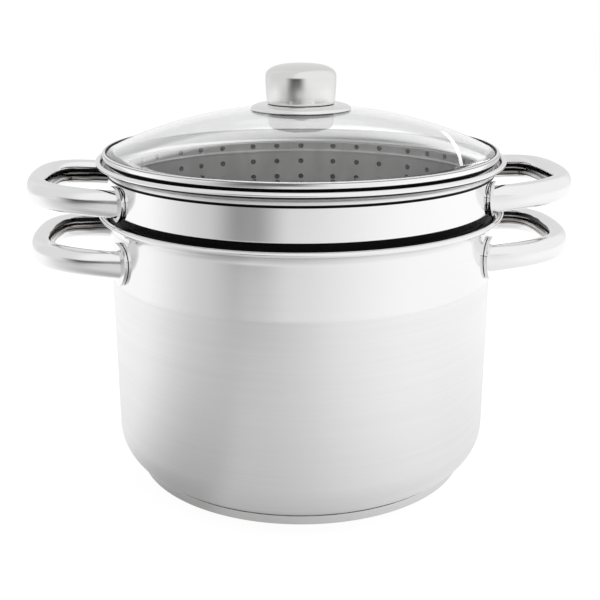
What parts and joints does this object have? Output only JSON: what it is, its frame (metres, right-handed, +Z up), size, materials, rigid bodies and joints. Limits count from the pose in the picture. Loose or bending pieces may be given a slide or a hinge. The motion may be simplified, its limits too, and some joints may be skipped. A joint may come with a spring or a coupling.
{
  "type": "pasta pot",
  "caption": "Tall steel stockpot with side loop handles, a strainer insert with its own handles that hangs in the pot's mouth, and a domed glass lid with a steel rim and knob.",
  "frame": {"origin": "centre of the pot's base, on the surface that it stands on", "axes": "+Z up along the pot's axis, +X towards one pair of handles, -Y is the side seen in the picture"},
  "size_m": [0.3374, 0.2534, 0.2561],
  "materials": {
    "brushed_steel": "brushed stainless steel, polished near the pot's mouth",
    "polished_steel": "mirror-polished stainless steel",
    "satin_steel": "satin stainless steel",
    "aluminium": "plain, hidden in the base",
    "clear_glass": "clear tempered glass",
    "silicone": "matte translucent silicone",
    "black_plastic": "moulded heat-proof plastic"
  },
  "bodies": {
    "pot": {"pot_shell": "brushed_steel", "base_core": "aluminium", "base_cap": "satin_steel", "pot_handle_right": "polished_steel", "pot_handle_left": "polished_steel", "pot_bracket_right_front": "polished_steel", "pot_bracket_right_rear": "polished_steel", "pot_bracket_left_front": "polished_steel", "pot_bracket_left_rear": "polished_steel"},
    "insert": {"insert_collar": "polished_steel", "strainer_basket": "brushed_steel", "insert_handle_right": "polished_steel", "insert_handle_left": "polished_steel", "insert_bracket_right_front": "polished_steel", "insert_bracket_right_rear": "polished_steel", "insert_bracket_left_front": "polished_steel", "insert_bracket_left_rear": "polished_steel"},
    "lid": {"lid_glass": "clear_glass", "lid_ring": "polished_steel", "knob_cap": "satin_steel", "knob_core": "black_plastic", "knob_flange": "polished_steel", "knob_gasket": "silicone", "lower_gasket": "silicone", "lid_washer": "satin_steel", "lid_screw": "satin_steel"}
  },
  "joints": [
    {"name": "insert_lift", "type": "slide", "parent": "pot", "child": "insert", "axis": [0, 0, 1], "range_m": [0, 0.13]},
    {"name": "lid_lift", "type": "slide", "parent": "insert", "child": "lid", "axis": [0, 0, 1], "range_m": [0, 0.12]}
  ]
}
